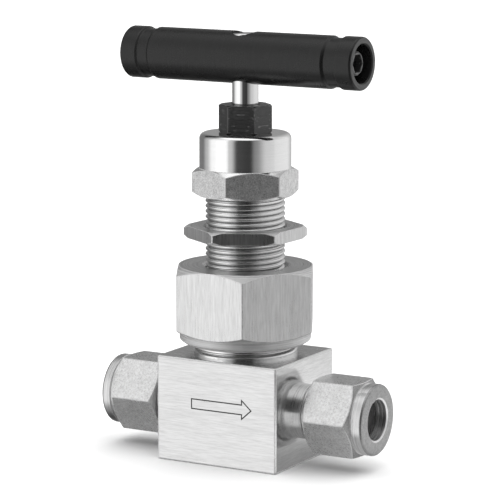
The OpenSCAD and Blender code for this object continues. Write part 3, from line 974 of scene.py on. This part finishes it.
# Brightness round the studio: (degrees from the camera's side, positive to its right, value)
SURROUND = ((-180, 0.30), (-152, 0.19), (-132, 0.18), (-112, 0.48), (-90, 1.00), (-58, 1.24),
            (-38, 0.60), (-20, 0.06), (12, 0.04), (26, 0.24), (56, 0.61), (96, 0.78), (130, 0.80),
            (150, 0.58), (168, 0.42), (180, 0.30))
# Share of its brightness that the surround keeps low down and high up, and the elevations between
# which it dims
UNDERFOOT, UNDERFOOT_BAND = 0.36, (-50.0, -28.0)
HIGH_SIDE, HIGH_SIDE_BAND = 0.72, (10.0, 50.0)
# Brightness above, and the elevations between which it takes over
OVERHEAD, OVERHEAD_BAND = 1.12, (46.0, 64.0)
# Brightness that dull surfaces get, and that the camera sees behind the valve
FILL = 0.55
BACKDROP = 1.0

# Sun lamp: strength, angle of its disc, and its tilt about X and Y
LAMP_ENERGY = 3.1
LAMP_SPREAD = 100
LAMP_TILT = (-12, 1)

# Brightness of the floor's reflection near the stem, and the distances between which it rises to 1
FLOOR_SHADE, FLOOR_SHADE_BAND = 0.29, (20.0, 62.0)
# Distances between which that reflection fades away
FLOOR_FADE_BAND = (80.0, 115.0)
NECK_CARD_GLOW = 1.15

# Corners of the two cards
FLOOR_CARD = ((16.2, -16, 0), (120, -16, 0), (120, 120, 0), (16.2, 120, 0))
NECK_CARD = ((21, -10.5, 0), (21, -20, 0), (21, -20, 13.6), (21, -10.5, 13.6))


def build_floor():
    bm = bmesh.new()
    bmesh.ops.create_grid(bm, x_segments=8, y_segments=8, size=FLOOR_REACH)
    floor = add_object("floor", mesh_from(bm, "floor"))
    material, n, shader = new_material("pale_floor")
    tone = n.from_noise(n.noise(n.place(), 30.0), 0.88, 0.9)
    n.link(n.grey(tone), shader.inputs["Base Color"])
    shader.inputs["Roughness"].default_value = 0.9
    shader.inputs["Specular IOR Level"].default_value = 0.0
    floor.data.materials.append(material)
    floor.visible_glossy = False


def flat_grey(value):
    """Constant colour of one brightness."""
    return (value, value, value, 1.0)


def surround(n, x, y):
    """Brightness of the studio's side in a direction."""
    azimuth = n.math("ARCTAN2", x, n.math("MULTIPLY", y, -1.0))
    turn = n.math("ADD", n.math("DIVIDE", azimuth, TAU), 0.5 - CAMERA_AZ / 360)
    ramp = n.new("ShaderNodeValToRGB")
    ramp.color_ramp.interpolation = "EASE"
    stops = ramp.color_ramp.elements
    while len(stops) > 1:
        stops.remove(stops[-1])
    for i, (degrees, value) in enumerate(SURROUND):
        place = (degrees + 180) / 360
        stop = stops[0] if i == 0 else stops.new(place)
        stop.position = place
        stop.color = flat_grey(value)
    n.link(n.math("FRACT", n.math("ADD", turn, 1.0)), ramp.inputs[0])
    return ramp.outputs[0]


def build_world():
    """Soft light all round, by direction. Dull surfaces see an even fill, and the camera a white backdrop."""
    world = bpy.data.worlds.new("studio")
    bpy.context.scene.world = world
    world.use_nodes = True
    n = Nodes(world.node_tree)
    background = world.node_tree.nodes["Background"]
    split = n.new("ShaderNodeSeparateXYZ")
    n.link(n.new("ShaderNodeTexCoord").outputs["Generated"], split.inputs[0])
    x, y, z = split.outputs
    elevation = n.math("DIVIDE", n.math("ARCSINE", z), math.radians(1))
    lower = n.remap(elevation, *UNDERFOOT_BAND, UNDERFOOT, 1.0, True)
    upper = n.remap(elevation, *HIGH_SIDE_BAND, 1.0, HIGH_SIDE, True)
    above = n.remap(elevation, *OVERHEAD_BAND, 0.0, 1.0, True)
    side = n.math("MULTIPLY", surround(n, x, y), n.math("MULTIPLY", lower, upper))
    path = n.new("ShaderNodeLightPath")
    light = n.mix_colour(above, side, flat_grey(OVERHEAD))
    light = n.mix_colour(path.outputs["Is Diffuse Ray"], light, flat_grey(FILL))
    light = n.mix_colour(path.outputs["Is Camera Ray"], light, flat_grey(BACKDROP))
    n.link(light, background.inputs["Color"])
    background.inputs["Strength"].default_value = 1.0


def build_lamp():
    """Broad soft light from above, for the floor and its shadows. The surroundings give the reflections."""
    data = bpy.data.lights.new("lamp", "SUN")
    data.angle = math.radians(LAMP_SPREAD)
    data.energy = LAMP_ENERGY
    lamp = add_object("lamp", data)
    tilt_x, tilt_y = LAMP_TILT
    lamp.rotation_euler = (math.radians(tilt_x), math.radians(tilt_y), 0)
    lamp.visible_glossy = False


def stage_card(name, corners, brightness, share):
    """Glowing card that only reflections see.

    brightness and share are functions that add nodes. A share of 1 shows the card, and 0 hides it.
    """
    mesh = bpy.data.meshes.new(name)
    mesh.from_pydata([Vector(c) * MM for c in corners], [], [(0, 1, 2, 3)])
    card = add_object(name, mesh)
    material = bpy.data.materials.new(name)
    material.use_nodes = True
    tree = material.node_tree
    tree.nodes.clear()
    n = Nodes(tree)
    glow = n.new("ShaderNodeEmission")
    n.feed(glow.inputs["Strength"], brightness(n))
    clear = n.new("ShaderNodeBsdfTransparent")
    mix = n.new("ShaderNodeMixShader")
    n.feed(mix.inputs[0], share(n))
    n.link(clear.outputs[0], mix.inputs[1])
    n.link(glow.outputs[0], mix.inputs[2])
    n.link(mix.outputs[0], n.new("ShaderNodeOutputMaterial").inputs["Surface"])
    mesh.materials.append(material)
    card.visible_camera = False
    card.visible_diffuse = False
    card.visible_shadow = False


def floor_distance(n):
    """Distance from the stem's axis in millimetres."""
    x, y, _ = n.position()
    return n.length(x, y)


def floor_shade(n):
    return n.remap(floor_distance(n), *FLOOR_SHADE_BAND, FLOOR_SHADE, 1.0, True)


def floor_fade(n):
    return n.remap(floor_distance(n), *FLOOR_FADE_BAND, 1.0, 0.0, True)


def front_only(n):
    return n.math("SUBTRACT", 1.0, n.new("ShaderNodeNewGeometry").outputs["Backfacing"])


def build_cards():
    """The shaded floor beside the right-hand end, and a white card in front of that end's neck."""
    stage_card("floor_reflection", FLOOR_CARD, floor_shade, floor_fade)
    stage_card("neck_card", NECK_CARD, lambda n: NECK_CARD_GLOW, front_only)


def build_camera():
    target = Vector(CAMERA_TARGET) * MM
    az, el = math.radians(CAMERA_AZ), math.radians(CAMERA_EL)
    back = Vector((math.sin(az) * math.cos(el), -math.cos(az) * math.cos(el), math.sin(el)))
    data = bpy.data.cameras.new("camera")
    data.lens = CAMERA_LENS
    data.sensor_width = CAMERA_SENSOR
    data.clip_start = 0.01
    data.clip_end = 50.0
    camera = add_object("camera", data)
    camera.location = target + back * CAMERA_DISTANCE * MM
    camera.rotation_mode = "QUATERNION"
    camera.rotation_quaternion = (-back).to_track_quat("-Z", "Y")
    bpy.context.scene.camera = camera


build_floor()
build_world()
build_lamp()
build_cards()
build_camera()
bpy.context.scene.view_settings.view_transform = "Standard"
